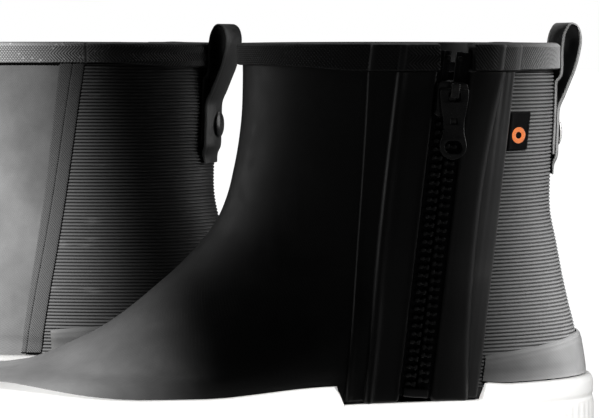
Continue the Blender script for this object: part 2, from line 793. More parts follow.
def white_rubber(name, colour, roughness):
    """moulded sole rubber: fine stipple, faint grime low down and in patches"""
    mat = Shader(name)
    grime_colour = (0.42, 0.39, 0.34)
    coarse = mat.noise(scale=30, detail=5, rough=0.6)
    fine = mat.noise(scale=1500, detail=2, rough=0.5)
    medium = mat.noise(scale=240, detail=3, rough=0.6)
    low = mat.ramp(mat.split(mat.position())[2], over=(0.0, 0.014), to=(0.75, 0.0))
    grime = mat.times(low, mat.ramp(coarse, over=(0.35, 0.68)), clamp=True)
    specks = mat.times(mat.ramp(medium, over=(0.6, 0.8)), 0.10)
    grime = mat.plus(grime, specks, clamp=True)
    base = mat.blend(mat.ramp(coarse, over=(0.3, 0.7)), tint(colour, 0.95), tint(colour, 1.04))
    mat.done(Base_Color=mat.blend(mat.times(grime, 0.6), base, grime_colour),
             Roughness=mat.ramp(medium, over=(0.3, 0.7), to=around(roughness, 0.06, 0.1)),
             Specular_IOR_Level=0.45, Subsurface_Weight=0.03,
             Subsurface_Radius=(0.002, 0.0018, 0.0015),
             Normal=mat.bump(mat.plus(fine, mat.times(medium, 0.5)),
                             strength=0.3, distance=0.00016))


def steel(name):
    mat = Shader(name)
    bright, stained = (0.5, 0.5, 0.5), (0.25, 0.2, 0.16)
    brushing = mat.noise(scale=300, detail=3, rough=0.6, stretch=(1, 22, 1))
    stains = mat.ramp(mat.noise(scale=60, detail=4), over=(0.55, 0.75))
    mat.done(Base_Color=mat.blend(stains, bright, stained), Metallic=1.0,
             Roughness=mat.ramp(brushing, over=(0.3, 0.7), to=(0.28, 0.45)),
             Normal=mat.bump(brushing, strength=0.2, distance=0.0001))


def board(name):
    mat = Shader(name)
    dark, light, stained = (0.33, 0.25, 0.16), (0.48, 0.38, 0.27), (0.24, 0.17, 0.11)
    fibres = mat.noise(scale=500, detail=4, rough=0.7)
    stains = mat.ramp(mat.noise(scale=70, detail=3), over=(0.5, 0.8), to=(0, 0.5))
    mat.done(Base_Color=mat.blend(stains, mat.blend(fibres, dark, light), stained),
             Roughness=0.9, Normal=mat.bump(fibres, strength=0.4, distance=0.0002))


# name, grey, roughness, specular, grain, cloth imprint, relief
for entry in (("smooth_rubber", 0.018, 0.45, 0.40, 0.2, 0.3, 0),
              ("ribbed_rubber", 0.0165, 0.40, 0.5, 0.15, 0, 0.8),
              ("facing_rubber", 0.0095, 0.34, 0.42, 0.14, 0, 0),
              ("binding_rubber", 0.026, 0.46, 0.5, 0.12, 0, 1.0),
              ("counter_rubber", 0.024, 0.38, 0.5, 0.2, 0.12, 0),
              ("strap_rubber", 0.026, 0.36, 0.5, 0.25, 0.25, 0)):
    rubber(*entry)
# name, colour, weave, pitches along u and v in mm, bump strength, roughness, sheen
for entry in (("twill_tape", (0.0125, 0.0125, 0.0125), twill, (0.95, 0.95), 1.0, 0.5, 0.02),
              ("lining_fabric", (0.12, 0.12, 0.125), knit, (1.3, 1.0), 0.8, 0.92, 0.5),
              ("gusset_fabric", (0.03, 0.03, 0.033), twill, (0.8, 0.8), 0.5, 0.8, 0.25),
              ("zip_tape", (0.020, 0.020, 0.022), cord, (0.55, 0.6), 0.6, 0.8, 0.25),
              ("footbed_fabric", (0.07, 0.07, 0.075), plain, (1.1, 1.1), 0.8, 0.9, 0.45),
              ("woven_label", (0.012, 0.012, 0.013), plain, (0.32, 0.3), 0.5, 0.8, 0.02),
              ("stiffener", (0.16, 0.15, 0.14), plain, (0.9, 0.9), 0.6, 0.9, 0.1)):
    fabric(*entry)
fabric("label_thread", colour=(0.75, 0.17, 0.03), weave=plain, pitches=(0.4, 0.4),
       strength=0.6, roughness=0.7, sheen=0.2, mottle=1.05)
enamel("rivet_metal", colour=(0.013, 0.013, 0.014), roughness=0.26)
enamel("slider_metal", colour=(0.011, 0.011, 0.012), roughness=0.2)
plastic("zip_plastic", colour=(0.0085, 0.0085, 0.009), roughness=0.4)
white_rubber("sole_rubber", colour=(0.86, 0.855, 0.84), roughness=0.5)
white_rubber("tread_rubber", colour=(0.66, 0.65, 0.62), roughness=0.6)
steel("spring_steel")
board("insole_board")


# =============================================================================
# Upper
# =============================================================================
def make_vamp():
    """smooth sheet from the zip round the front to the lateral seam"""
    zip_gap = 13.5
    z = np.unique(np.concatenate([np.linspace(UPPER_LOW, 36, 9), np.linspace(36, 50, 29),
                                  np.linspace(50, UPPER_TOP, 72)]))[:, None]
    girth = mix(medial_girth(zip_x(z) - zip_gap, z), lateral_girth(lateral_seam(z) - 0.15, z),
                np.linspace(0, 1, 170))
    x = last_point(girth, z)[..., 0]
    # soft hollows and swells at the ankle
    depth = 0.28 * smooth((z - 60) / 25) * smooth((118 - z) / 25)
    folds = depth * (0.5 + 0.5 * np.sin(z * 0.32 + x * 0.06)) * smooth((-20 - x) / 25)
    piece("vamp", shell(girth, z, -0.02 - folds, -WALL), "smooth_rubber", "vamp_shell")


def make_ribbed_panel():
    """rear panel with ribs running round the heel"""
    low, pitch, depth = 38.0, 1.32, 0.62
    count = int((UPPER_TOP - low) / pitch)
    end = low + count * pitch
    starts = low + pitch * np.arange(count)[:, None]
    ribs = starts + pitch * np.array([0.0, 0.16, 0.33, 0.5, 0.67, 0.84])
    z = np.concatenate([[UPPER_LOW, 24.0, 34.0], ribs.ravel(), [end, UPPER_TOP]])
    z = np.unique(np.round(z, 4))[:, None]
    girth = mix(lateral_girth(lateral_seam(z) + 0.15, z) - 1,
                medial_girth(zip_x(z) + 13.5, z), np.linspace(0, 1, 78))
    rib = np.abs(np.sin(np.pi * (z - low) / pitch)) ** 0.75
    fade = smooth(z - low) * smooth((end - z) / 0.6)
    mesh = shell(girth, z, -depth + depth * rib * fade, -WALL)
    piece("ribbed_panel", mesh, "ribbed_rubber", "rear_panel", creased=False)


def make_heel_counter():
    """heel counter with a lip along its top edge"""
    lateral_end, medial_margin, level = 5.7, 1.2, 44.0
    along = np.linspace(0, 1, 150)
    # closer rows at the top lip
    up = 1 - (1 - np.linspace(0, 1, 26)[:, None]) ** 1.6
    nominal = mix(lateral_girth(lateral_end, level) - 1,
                  medial_girth(rear_base_edge(level) + medial_margin, level), along)
    top = 46.5 + 9 * smooth(1 - np.abs(nominal) / 0.26)
    foot = plain_feather(last_point(nominal, level)[:, 0], np.where(nominal < 0, 1.0, -1.0)) + 0.4
    z = mix(foot, top, up)
    girth = mix(lateral_girth(lateral_end, z) - 1,
                medial_girth(rear_base_edge(z) + medial_margin, z), along)
    from_top = top - z
    from_end = np.minimum(along, 1 - along) * 150
    outer = (1.75 - 0.8 * smooth(1 - from_top / 3.2) + 0.35 * bead(from_top, 1.1, 0.7)
             - drop(from_top, 0.6) * 0.8 - drop(from_end, 1.2) * 0.6)
    piece("heel_counter_cover", shell(girth, z, outer, 0.38), "counter_rubber",
          "heel_counter")


def make_seam_tape(name, front, rear):
    """tape up the lateral side between two edges given as functions of z"""
    low, high, top, base = 38.8, 155.0, 1.12, 0.3
    share = 0.5 - 0.5 * np.cos(np.pi * np.linspace(0, 1, 11))
    z = np.linspace(low, high, 170)
    z[1] = low + 0.25
    z[-2] = high - 0.25
    z = z[:, None]
    girth = mix(lateral_girth(front(z), z), lateral_girth(rear(z), z), share)
    width = np.abs(rear(z) - front(z))
    rounding = (drop(np.minimum(share, 1 - share) * width, 0.55)
                + drop(np.minimum(z - low, high - z), 0.8))
    outer = top - np.minimum(rounding, (top - base) * 0.9)
    mesh = shell(girth, z, outer, base, u=(share - 0.5) * width)
    piece(f"{name}_cover", mesh, "twill_tape", name)


# --- the four strips beside the zip. Each profile gives the outer offset from the
# distance to the front edge, the distance to the rear edge, and the width
def front_base_profile(front, rear, width):
    return 1.25 + 0.45 * bead(front, 1.3, 0.9) - drop(front, 1.1)


def rear_base_profile(front, rear, width):
    return 1.25 + 0.42 * bead(rear, 1.1, 0.8) - drop(rear, 0.95) - 0.3 * bead(rear, 4.4, 0.9)


def front_facing_profile(front, rear, width):
    """high rounded roll at the front edge, then a hollow that falls to the chain"""
    share = np.clip(front / width, 0, 1)
    return (2.35 + 0.35 * (1 - share) + 0.9 * bead(front, 2.0, 1.35) - drop(front, 1.9) * 0.95
            + 0.25 * bead(rear, 1.0, 0.8) - drop(rear, 0.8))


def rear_facing_profile(front, rear, width):
    """rises from the chain to a rounded crest near the rear edge"""
    share = np.clip(front / np.maximum(width - 2.6, 1), 0, 1)
    return (2.15 + 0.75 * share ** 1.3 + 0.45 * bead(rear, 2.5, 1.3) - drop(rear, 2.3) * 0.95
            + 0.2 * bead(front, 1.0, 0.8) - drop(front, 0.8))


def make_strip(name, node, front_edge, rear_edge, profile, base, bottom, columns):
    """strip beside the zip with the corners of its foot rounded"""
    even = np.cos(np.pi * np.linspace(0, 1, columns))
    share = 0.5 - 0.5 * even * (0.75 + 0.25 * np.abs(even))
    share = (share - share[0]) / (share[-1] - share[0])
    nominal = float(rear_edge(40.0) - front_edge(40.0))
    foot = bottom + drop(np.minimum(share, 1 - share) * nominal, 2.4) * 0.55
    up = np.concatenate([[0, 0.002, 0.005, 0.009, 0.014, 0.020], np.linspace(0, 1, 150)[4:]])
    z = mix(foot, STRIP_TOP, up[:, None])
    front, rear = front_edge(z), rear_edge(z)
    x = mix(front, rear, share)
    outer = profile(x - front, rear - x, rear - front) - drop(z - foot, 0.8)
    outer = np.maximum(base + 0.12, outer)
    mesh = shell(medial_girth(x, z)[:, ::-1], z[:, ::-1], outer[:, ::-1], base, u=-x[:, ::-1])
    piece(name, mesh, "facing_rubber", node)


def beside_zip(distance):
    return lambda z: zip_x(z) + distance


def make_strips():
    base = dict(base=0.45, bottom=34.9)
    facing = dict(base=1.42, bottom=34.4)
    make_strip("front_base_band", "front_base_strip", front_base_edge, beside_zip(-8.2),
               front_base_profile, columns=61, **base)
    make_strip("rear_base_band", "rear_base_strip", beside_zip(8.2), rear_base_edge,
               rear_base_profile, columns=53, **base)
    make_strip("front_facing_band", "front_facing", front_facing_edge, beside_zip(-5.8),
               front_facing_profile, columns=61, **facing)
    make_strip("rear_facing_band", "rear_facing", beside_zip(5.8), rear_facing_edge,
               rear_facing_profile, columns=51, **facing)


def binding_section():
    """section of the collar binding: z, offset, strength of the knurl, 1 on the outer leg"""
    inner = INSIDE - 0.5
    fold_low = COLLAR - 1.3
    section = [(BAND_LOW, 1.2, 0, 1), (BAND_LOW + 0.1, 1.5, 0, 1), (BAND_LOW + 0.3, 1.7, 0.2, 1)]
    section += [(z, 1.75, 1, 1) for z in np.linspace(BAND_LOW + 0.5, fold_low, 33)]
    for share in np.linspace(0.12, 1, 8):
        angle = share * math.pi / 2
        section.append((fold_low + 1.3 * math.sin(angle), 1.75 - 2.2 + 2.2 * math.cos(angle),
                        0.5 if share < 0.5 else 0, 1 if share < 0.6 else 0))
    for share in np.linspace(0.2, 1, 5):
        angle = share * math.pi / 2
        section.append((fold_low + 1.3 * math.cos(angle),
                        inner + 1.0 - 2.6 * math.sin(angle), 0, 0))
    # down the inside, then back up and over between the binding's two legs
    inner_leg = [
        (COLLAR - 4, inner - 1.6), (COLLAR - 6.5, inner - 1.6), (BAND_LOW + 0.8, inner - 1.6),
        (BAND_LOW + 0.2, inner - 1.6), (BAND_LOW, inner - 1.0), (BAND_LOW, inner - 0.4),
        (BAND_LOW + 0.3, inner - 0.2), (COLLAR - 3.4, inner - 0.2), (COLLAR - 2.8, inner + 0.4),
        (COLLAR - 2.6, -1.0), (COLLAR - 3.0, 0.2), (BAND_LOW + 1.0, 0.25), (BAND_LOW, 0.35)]
    return np.array(section + [(z, offset, 0, 0) for z, offset in inner_leg])


def make_collar_band():
    """knurled strip folded over the top edge, riding over the strips beside the zip"""
    zip_gap, level = 6.4, 157.0
    ridge_places = (-28.4, -18.4, 16.0, 23.2)
    girth = np.linspace(medial_girth(zip_x(COLLAR) - zip_gap, COLLAR),
                        1 + medial_girth(zip_x(COLLAR) + zip_gap, COLLAR), 1400)
    run = lengths(off_last(girth, level, 1.5))
    section = binding_section()
    section_z, section_offset, knurl, outer_leg = section.T

    # the lower edge climbs a little from the zip round the front to the lateral side
    x = last_point(girth, level)[:, 0]
    rise = np.where(np.mod(girth, 1) < 0.5,
                    np.where(x < 0, 1.7 * smooth((-16 - x) / 30), 0.0),
                    1.7 + 0.25 * smooth((x + 40) / 40) - 1.95 * smooth((x - 30) / 26))
    depth = COLLAR - BAND_LOW
    z = COLLAR - (COLLAR - section_z) * ((depth - rise) / depth)[:, None]
    columns, along = girth[:, None], run[:, None]
    x = last_point(columns, z)[..., 0]
    medial = np.mod(columns, 1) < 0.5
    from_zip = x - zip_x(z)

    # the strips below lift the binding in flat steps, and each edge shows as a plain ridge
    lift = np.where(medial, 0.85 * window(from_zip, -29.6, 24.4)
                    + 0.7 * window(from_zip, -20.0, 17.2), 0.0)
    ridge = np.where(medial, sum(0.42 * bead(from_zip, p, 0.75) for p in ridge_places), 0.0)
    bare = np.where(medial, np.clip(sum(1.3 * bead(from_zip, p, 1.15) for p in ridge_places),
                                    0, 1), 0.0)
    seam_run = float(np.interp(lateral_girth(22.0, level), girth, run))
    seam = bead(along, seam_run, 0.55)

    # staggered raised dots; chevrons ahead of the zip and behind the lateral seam, and
    # diagonal wales behind the zip
    full = 2 * np.pi
    up = z - BAND_LOW
    dots = np.maximum(0, np.cos(full * along / 1.25) * np.cos(full * up / 1.42)) ** 0.8
    zigzag = along + np.abs(np.mod(up, 5.6) - 2.8)
    chevrons = 0.5 + 0.5 * np.cos(full * zigzag / 1.25)
    wales = 0.5 + 0.5 * np.cos(full * (along - up * 0.75) / 1.1)
    chevron_share = (np.where(medial, window(from_zip, -18.4, 0.0), 0.0)
                     + np.where(~medial, step(x, 8.0, 6.0), 0.0))
    wale_share = np.where(medial, step(from_zip, 0.0), 0.0)
    pattern = (dots * (1 - chevron_share - wale_share) + chevrons * chevron_share
               + wales * wale_share)
    relief = (lift + ridge + 0.45 * pattern * knurl * (1 - bare) * (1 - seam)
              - 0.55 * seam * (knurl > 0))
    offset = section_offset + np.where(outer_leg > 0.5, relief, 0.0)

    mesh = Mesh()
    round_section = lengths(np.vstack([section[:, :2], section[:1, :2]]))
    ids = mesh.tube(off_last(columns, z, offset), uv_map(along, round_section))
    end_uv = section[:, [1, 0]]
    mesh.face(ids[0], end_uv)
    mesh.face(ids[-1, ::-1], end_uv[::-1])
    piece("collar_band", mesh, "binding_rubber", "collar_binding", creased=False)


def make_lining():
    z = np.concatenate([np.linspace(18.7, 50, 24), np.linspace(53, COLLAR - 3, 44)])[:, None]
    girth = mix(medial_girth(zip_x(z) - 9.6, z), 1 + medial_girth(zip_x(z) + 9.6, z),
                np.linspace(0, 1, 150))
    x = last_point(girth, z)[..., 0]
    # set further in at the toe, at the heel and low down
    heel = smooth((x - 22) / 12) * smooth((84 - z) / 14)
    inset = 1.3 * np.maximum(smooth((-90 - x) / 12), heel) + 0.8 * smooth((46 - z) / 8)
    outer = -WALL - LINING_GAP - inset
    puff = 0.25 * np.sin(girth * 2 * np.pi * 9 + z * 0.05) * np.sin(z * 0.11)
    piece("textile_lining", shell(girth, z, outer, outer - LINING + puff),
          "lining_fabric", "lining")


def make_gusset():
    """folded cloth behind the zip"""
    half, thick = 17, 1.15
    z = np.linspace(24, STRIP_TOP - 0.6, 90)[:, None]
    across = np.linspace(half, -half, 45)
    fold = 0.5 * np.cos(across / half * np.pi * 2.5) + 0.12 * np.sin(z * 0.5 + across * 0.3)
    inner = INSIDE - 3.3 + 0.28 * fold
    piece("bellows_gusset", shell(medial_girth(zip_x(z) - across, z), z, inner + thick, inner),
          "gusset_fabric", "zip_gusset")


make_vamp()
make_ribbed_panel()
make_heel_counter()
make_seam_tape("seam_tape_front", tape_front_edge, lambda z: lateral_seam(z) - 0.02)
make_seam_tape("seam_tape_rear", lambda z: lateral_seam(z) + 0.02, tape_rear_edge)
make_strips()
make_collar_band()
make_lining()
make_gusset()


# =============================================================================
# Zip
# =============================================================================
def make_zip_tape(name, front):
    """one half of the zip's tape; the front half is mirrored to the toe side"""
    inner_edge = 1.1
    along = np.linspace(1, ZIP_LENGTH + 10, 260)[:, None]
    across = np.concatenate([[1.1, 1.2, 1.4, 1.7, 2.0, 2.3, 2.5], np.linspace(2.8, 8.4, 30)])
    across = across + 0.04 * np.sin(along * 2.1) * (across > 7.5)
    # above the facings the tape is folded in to fit the gap of the collar band
    narrow = mix(1.0, 0.69, smooth((along - ZIP_LENGTH - 1.0) / 2.5))
    across = inner_edge + (across - inner_edge) * narrow
    relief = (0.28 * bead(across, 1.75, 0.5)
              + 0.10 * np.abs(np.sin(across * np.pi / 1.1)) * (across > 2.6))
    folds = (0.55 * bead(across, 3.7 if front else 2.3, 0.45) + 0.3 * bead(across, 5.6, 0.4))
    relief = relief + folds * smooth((along - ZIP_LENGTH - 0.5) / 1.5)
    relief = relief * (1 + 0.2 * np.sin(along * 2 * np.pi / 1.1))
    mesh = flat_sheet(across, 0.05 - relief, along, mirror=front)
    # the wide part under the facing
    mesh.append(flat_sheet(np.linspace(8.46, 13.1, 8), 0.06,
                           np.linspace(1, ZIP_LENGTH + 2.2, 60)[:, None], mirror=front))
    piece(f"zip_tape_{name}_woven", mesh, "zip_tape", f"zip_tape_{name}")


def make_zip_chain(name, side, count, shift):
    """one row of teeth; side is 1 for the front row and -1 for its mirrored rear row"""
    pitch, first = 3, 6
    tooth = Mesh()
    # foot clamped round the tape's edge, a waist, and the head that locks
    add_box(tooth, (-4.3, -2.55, -0.72), (-2.55, -0.1, 0.72), 0.5, segments=3)
    add_box(tooth, (-2.9, -2.35, -0.48), (-1.2, -0.2, 0.48), 0.35, segments=2)
    add_box(tooth, (-1.75, -2.5, -0.92), (-0.42, -0.2, 0.92), 0.45, segments=3)
    mesh = Mesh()
    for i in range(count):
        up = first + (i + shift) * pitch
        mesh.append(tooth, place=lambda points: in_zip(points * [side, 1, 1] + [0, 0, up]),
                    flip=side < 0)
    piece(f"zip_chain_{name}", mesh, "zip_plastic", f"zip_teeth_{name}")


def make_zip_stops():
    mesh = Mesh()
    for x in (-2.2, 2.2):
        add_box(mesh, (x - 0.85, -1.9, ZIP_LENGTH + 6.6), (x + 0.85, -0.1, ZIP_LENGTH + 8.6),
                0.6, in_zip, segments=4)
    add_box(mesh, (-4.6, -2.9, 1.2), (4.6, -0.1, 4.4), 0.6, in_zip, segments=4)
    piece("zip_end_stops", mesh, "zip_plastic", "zip_stops")


def make_slider():
    """two shaped plates with flanges, a bridge between them and an arch in front"""
    outline = curve_through([
        [-4.9, -9.4], [4.9, -9.4], [5.35, -6.4], [5.45, -2.4], [5.45, 1.0], [4.6, 2.7],
        [1.8, 3.0], [-1.8, 3.0], [-4.6, 2.7], [-5.45, 1.0], [-5.45, -2.4], [-5.35, -6.4]],
        steps=5, cyclic=True)
    mesh = Mesh()
    add_plate(mesh, outline, -4.25, -2.95, 0.32, in_slider)
    add_plate(mesh, outline, 1.05, 2.25, 0.3, in_slider)
    # low corner, high corner, edge radius, segments
    for low, high, radius, segments in (
            ((-5.4, -3.2, -8.9), (-4.5, -0.8, 1.8), 0.3, 3),        # flanges
            ((4.5, -3.2, -8.9), (5.4, -0.8, 1.8), 0.3, 3),
            ((-0.35, -3.2, -0.6), (0.35, 1.5, 2.4), 0.15, 2),       # bridge
            ((-1.5, -7.45, -2.6), (1.5, -4.1, -1.4), 0.35, 3),      # feet of the arch
            ((-1.5, -7.45, 1.4), (1.5, -4.1, 2.6), 0.35, 3),
            ((-1.5, -7.5, -2.6), (1.5, -6.65, 2.6), 0.4, 4)):       # arch
        add_box(mesh, low, high, radius, in_slider, segments)
    piece("zip_slider_body", mesh, "slider_metal", "zip_slider", body="slider")


def make_pull_tab():
    length, tip_radius = 24.4, 4.9
    # right-hand edge from the top down to the round tip, (x, z)
    edge = np.array([[5.2, 0.15], [5.2, -1.4], [5.05, -3.4], [4.7, -6], [4.25, -8.4],
                     [3.85, -10.8], [3.75, -13], [4.0, -15.4], [4.55, -17.4], [4.88, -18.9]])
    thirds = np.linspace(0, 1, 4)[:-1]
    half = np.array([[4.75, 0.75]]
                    + [mix(a, b, share) for a, b in zip(edge, edge[1:]) for share in thirds]
                    + [edge[-1]])
    angle = np.radians(np.arange(6, 175, 7))
    tip = np.stack([tip_radius * np.cos(angle),
                    tip_radius - length - tip_radius * 0.97 * np.sin(angle)], -1)
    outline = np.vstack([half, tip, half[::-1] * [-1, 1]])[::-1]
    # slot near the tip, window at the top, small opening in the middle
    angle = np.linspace(0.04, 2 * math.pi + 0.04, 49)[:-1]
    slot = np.stack([0.9 * np.sign(np.cos(angle)) + 2.2 * np.cos(angle),
                     4.6 - length + 2.2 * np.sin(angle)], -1)
    top_window = [[-2.1, -3.2], [-1.5, -3.8], [1.5, -3.8], [2.1, -3.2], [2.1, -0.85],
                  [-2.1, -0.85]]
    opening = [[-1.0, -11.6], [1.0, -11.6], [1.15, -11.4], [1.15, -9.8], [1.0, -9.6],
               [-1.0, -9.6], [-1.15, -9.8], [-1.15, -11.4]]
    mesh = Mesh()
    add_plate(mesh, outline, -0.9, 0.9, 0.34, in_pull,
              holes=[slot[::-1], top_window[::-1], opening[::-1]], segments=4)
    # a block behind the small opening makes it a sunk square
    add_box(mesh, (-1.6, -0.15, -12.0), (1.6, 0.6, -9.2), 0.2, in_pull, segments=2)
    piece("pull_tab_plate", mesh, "slider_metal", "zip_puller", body="puller")


make_zip_tape("front", front=True)
make_zip_tape("rear", front=False)
REAR_TEETH = int((ZIP_LENGTH - 9) // 3)
make_zip_chain("front", side=1, count=REAR_TEETH + 1, shift=0.0)
make_zip_chain("rear", side=-1, count=REAR_TEETH, shift=0.5)
make_zip_stops()
make_slider()
make_pull_tab()


# =============================================================================
# Pull loop, rivet and label
# =============================================================================
def make_pull_strap():
    """strap up the heel, looped over above the collar and back down over itself"""
    half_wide, columns, bow_radius = 22.5 / 2, 37, 30.0
    inner_layer = STRAP_GAP + STRAP_THICK / 2
    outer_layer = STRAP_GAP + STRAP_THICK * 1.5 + 0.12
    # centre line in x and z; the loop is given from the heel's edge at the collar
    path = [[heel_x(z) + inner_layer, z] for z in (121.2, 126, 131, 137, 144)]
    path += [[heel_x(COLLAR) + x, COLLAR + z] for x, z in (
        (1.1, -14.5), (2.98, -11.2), (3.18, -1), (3.8, 4.2), (5.6, 6.8), (7.8, 6.1),
        (9.1, 3.5), (9.3, -0.6), (8.0, -7), (6.0, -13), (3.8, -19.5))]
    path += [[heel_x(z) + outer_layer, z] for z in (137.5, 130, 125, 120.3)]
    path += [[heel_x(z) + 0.02 + inner_layer, z] for z in (117.2, 113.5)]
    centre = curve_through(path, steps=8)
    place = np.arange(len(centre)) / 8
    tangent = np.gradient(centre, axis=0)
    tangent = tangent / np.linalg.norm(tangent, axis=1, keepdims=True)
    normal = np.stack([tangent[:, 1], -tangent[:, 0]], 1)
    # the strap bows round the heel, less so in the loop; its last end narrows and thins
    bow = np.where((place < 7.5) | (place > 14.5), 1.0, 0.55)
    bow = np.convolve(np.pad(bow, 6, mode="edge"), np.ones(13) / 13, "valid")
    wide = 1 - 0.22 * smooth((place - (len(path) - 3.0)) / 2.0) ** 1.5
    thin = 1 - 0.45 * smooth((place - (len(path) - 2.2)) / 1.2)
    # section: rounded edges and a sunk line near each
    row = np.linspace(-half_wide, half_wide, columns)
    across = np.append(row, row[::-1])
    face = np.repeat([1, -1], columns)
    from_edge = half_wide - np.abs(across)
    thick = np.maximum(STRAP_THICK / 2 - drop(from_edge, 0.5) * 0.95, 0.05)
    out = face * (thick - 0.13 * bead(from_edge, 1.9, 0.32)) * thin[:, None]
    y = across * wide[:, None]
    sag = bow_radius - np.sqrt(bow_radius ** 2 - y ** 2)
    points = np.stack([centre[:, :1] + normal[:, :1] * out - bow[:, None] * sag, y,
                       centre[:, 1:] + normal[:, 1:] * out], -1)
    mesh = Mesh()
    ids = mesh.tube(points, uv_map(np.append(across, across[0]), lengths(centre)[:, None]))
    for end, order in ((0, 1), (-1, -1)):
        for j in range(columns - 1):
            quad = ids[end, [j, j + 1, 2 * columns - 2 - j, 2 * columns - 1 - j]]
            mesh.face(quad[::order], [(0, 0), (1, 0), (1, 1), (0, 1)])
    piece("pull_strap", mesh, "strap_rubber", "pull_loop")


def make_rivet():
    """domed rivet through both layers of the strap and the heel, its axis along x"""
    sides = 64
    seat = STRAP_GAP + 2 * STRAP_THICK + 0.25
    depth = seat - INSIDE
    # radius, height above the seat
    profile = [(0.0, 1.42), (1.2, 1.40), (2.4, 1.30), (3.4, 1.12), (4.2, 0.88), (4.8, 0.6),
               (5.1, 0.36), (5.2, 0.18), (5.15, 0.04), (5.0, -0.02), (3.0, -0.02),
               (1.5, -0.02), (1.5, -4.0), (1.5, -depth - 1.4), (1.2, -depth - 1.6),
               (0.0, -depth - 1.6)]
    radius, height = np.array(profile[1:-1]).T[..., None]
    angle = np.linspace(0, 2 * np.pi, sides + 1)[:-1]
    x = heel_x(RIVET_Z) + seat
    rings = np.stack(np.broadcast_arrays(x + height, radius * np.cos(angle),
                                         RIVET_Z + radius * np.sin(angle)), -1)
    mesh = Mesh()
    ids = mesh.tube(rings, uv_map(np.linspace(0, 33, sides + 1), radius))
    top = mesh.add([x + profile[0][1], 0, RIVET_Z])
    bottom = mesh.add([x + profile[-1][1], 0, RIVET_Z])
    for j in range(sides):
        after = (j + 1) % sides
        mesh.face([top, ids[0, j], ids[0, after]], [(0, 0), (1, 0), (1, 1)])
        mesh.face([bottom, ids[-1, after], ids[-1, j]], [(0, 0), (1, 0), (1, 1)])
    piece("rivet_cap", mesh, "rivet_metal", "loop_rivet")


def make_tag():
    """woven tag behind the rear base strip"""
    low, high = 123.8, 137.2
    z = np.linspace(low, high, 40)[:, None]
    front, rear = rear_base_edge(z) + 0.3, rear_base_edge(z) + 9.2
    x = mix(front, rear, np.linspace(1, 0, 30))
    from_side = np.minimum(x - front, rear - x)
    rounding = drop(np.minimum(z - low, high - z), 0.5) + drop(from_side, 0.5)
    outer = 1.05 - np.minimum(0.4, rounding) + 0.10 * bead(from_side, 0.9, 0.3)
    piece("woven_tag", shell(medial_girth(x, z), z, outer, 0.35, u=-x),
          "woven_label", "label_tag")


def make_tag_mark():
    """raised ring of thread on the tag"""
    centre_z = 129.0
    centre_x = rear_base_edge(centre_z) + 4.6
    around_ring = np.linspace(0, 2 * np.pi, 41)[:-1, None]
    around_thread = 2 * np.pi * np.arange(10) / 10
    radius = 2.05 + 0.85 * np.cos(around_thread)
    x = centre_x + radius * np.cos(around_ring)
    z = centre_z + radius * np.sin(around_ring)
    mesh = Mesh()
    ids = mesh.add(off_last(medial_girth(x, z), z, 1.08 + 0.14 * np.sin(around_thread)))
    mesh.grid(closed(np.vstack([ids, ids[:1]])),
              uv_map(np.linspace(0, 10.4, 41)[:, None], np.linspace(0, 3.9, 11)), flip=True)
    piece("woven_tag_mark", mesh, "label_thread")


make_pull_strap()
make_rivet()
make_tag()
make_tag_mark()

# =============================================================================
# Sole
# =============================================================================
SOLE_GIRTH = np.linspace(0, 1, 420, endpoint=False)
SOLE_LINE = last_point(SOLE_GIRTH, FEATHER_Z)
SOLE_RUN = lengths(np.vstack([SOLE_LINE, SOLE_LINE[:1]]))
SPRING = toe_spring(SOLE_LINE[:, 0])


def sole_ring(out, z):
    """ring round the sole, moved out in plan from the last's outline"""
    chord = last_point(SOLE_GIRTH + .006, FEATHER_Z) - last_point(SOLE_GIRTH - .006, FEATHER_Z)
    along = chord[:, :2] / np.linalg.norm(chord[:, :2], axis=-1, keepdims=True)
    return np.stack([SOLE_LINE[:, 0] - out * along[:, 1],
                     SOLE_LINE[:, 1] + out * along[:, 0], z], -1)


def make_sidewall():
    flute_low, flute_high, flute_pitch = 0.32, 0.72, 3.4
    # share of the wall's height, distance beyond CUP_OUT: welt and groove below the flutes
    lower = [(0.0, -0.5), (0.02, 0.1), (0.05, 0.45), (0.10, 0.6), (0.20, 0.62), (0.225, 0.55),
             (0.24, 0.2), (0.255, 0.1), (0.27, 0.2), (0.285, 0.42), (0.30, 0.45)]
    # groove and rolled rim above them
    upper = [(0.735, 0.24), (0.745, -0.05), (0.76, -0.12), (0.775, -0.05), (0.79, 0.25),
             (0.83, 0.3), (0.92, 0.25), (0.955, 0.0), (0.98, -0.45), (0.995, -1.0), (1.0, -1.5)]
    x = SOLE_LINE[:, 0]
    bottom = CUP_LOW + SPRING
    top = feather(x, np.where(SOLE_GIRTH < 0.5, -1.0, 1.0))
    # upright flutes round the toe and the heel
    zone = np.maximum(smooth((-118 - x) / 12), smooth((x - 44) / 10))
    flutes = 0.42 * zone * (0.5 + 0.5 * np.cos(2 * np.pi * SOLE_RUN[:-1] / flute_pitch))
    rings = [sole_ring(CUP_OUT + out, mix(bottom, top, share)) for share, out in lower]
    for share in np.linspace(flute_low, flute_high, 14):
        fade = max(0, min(1.0, (share - flute_low) / 0.05, (flute_high - share) / 0.05))
        out = CUP_OUT + 0.42 - 0.35 * (share - 0.3)
        rings.append(sole_ring(out + fade * flutes, mix(bottom, top, share)))
    rings += [sole_ring(CUP_OUT + out, mix(bottom, top, share)) for share, out in upper]
    # inner wall, down against the upper
    for share in (1.0, 0.93, 0.82, 0.6, 0.3, 0.0):
        rings.append(off_last(SOLE_GIRTH, mix(15.0, top, share), 1.15))
    rings = np.array(rings)
    mesh = Mesh()
    add_capped_rings(mesh, rings, uv_map(SOLE_RUN, lengths(rings[:, 0])[:, None]))
    piece("cup_sidewall", mesh, "sole_rubber", "cupsole")


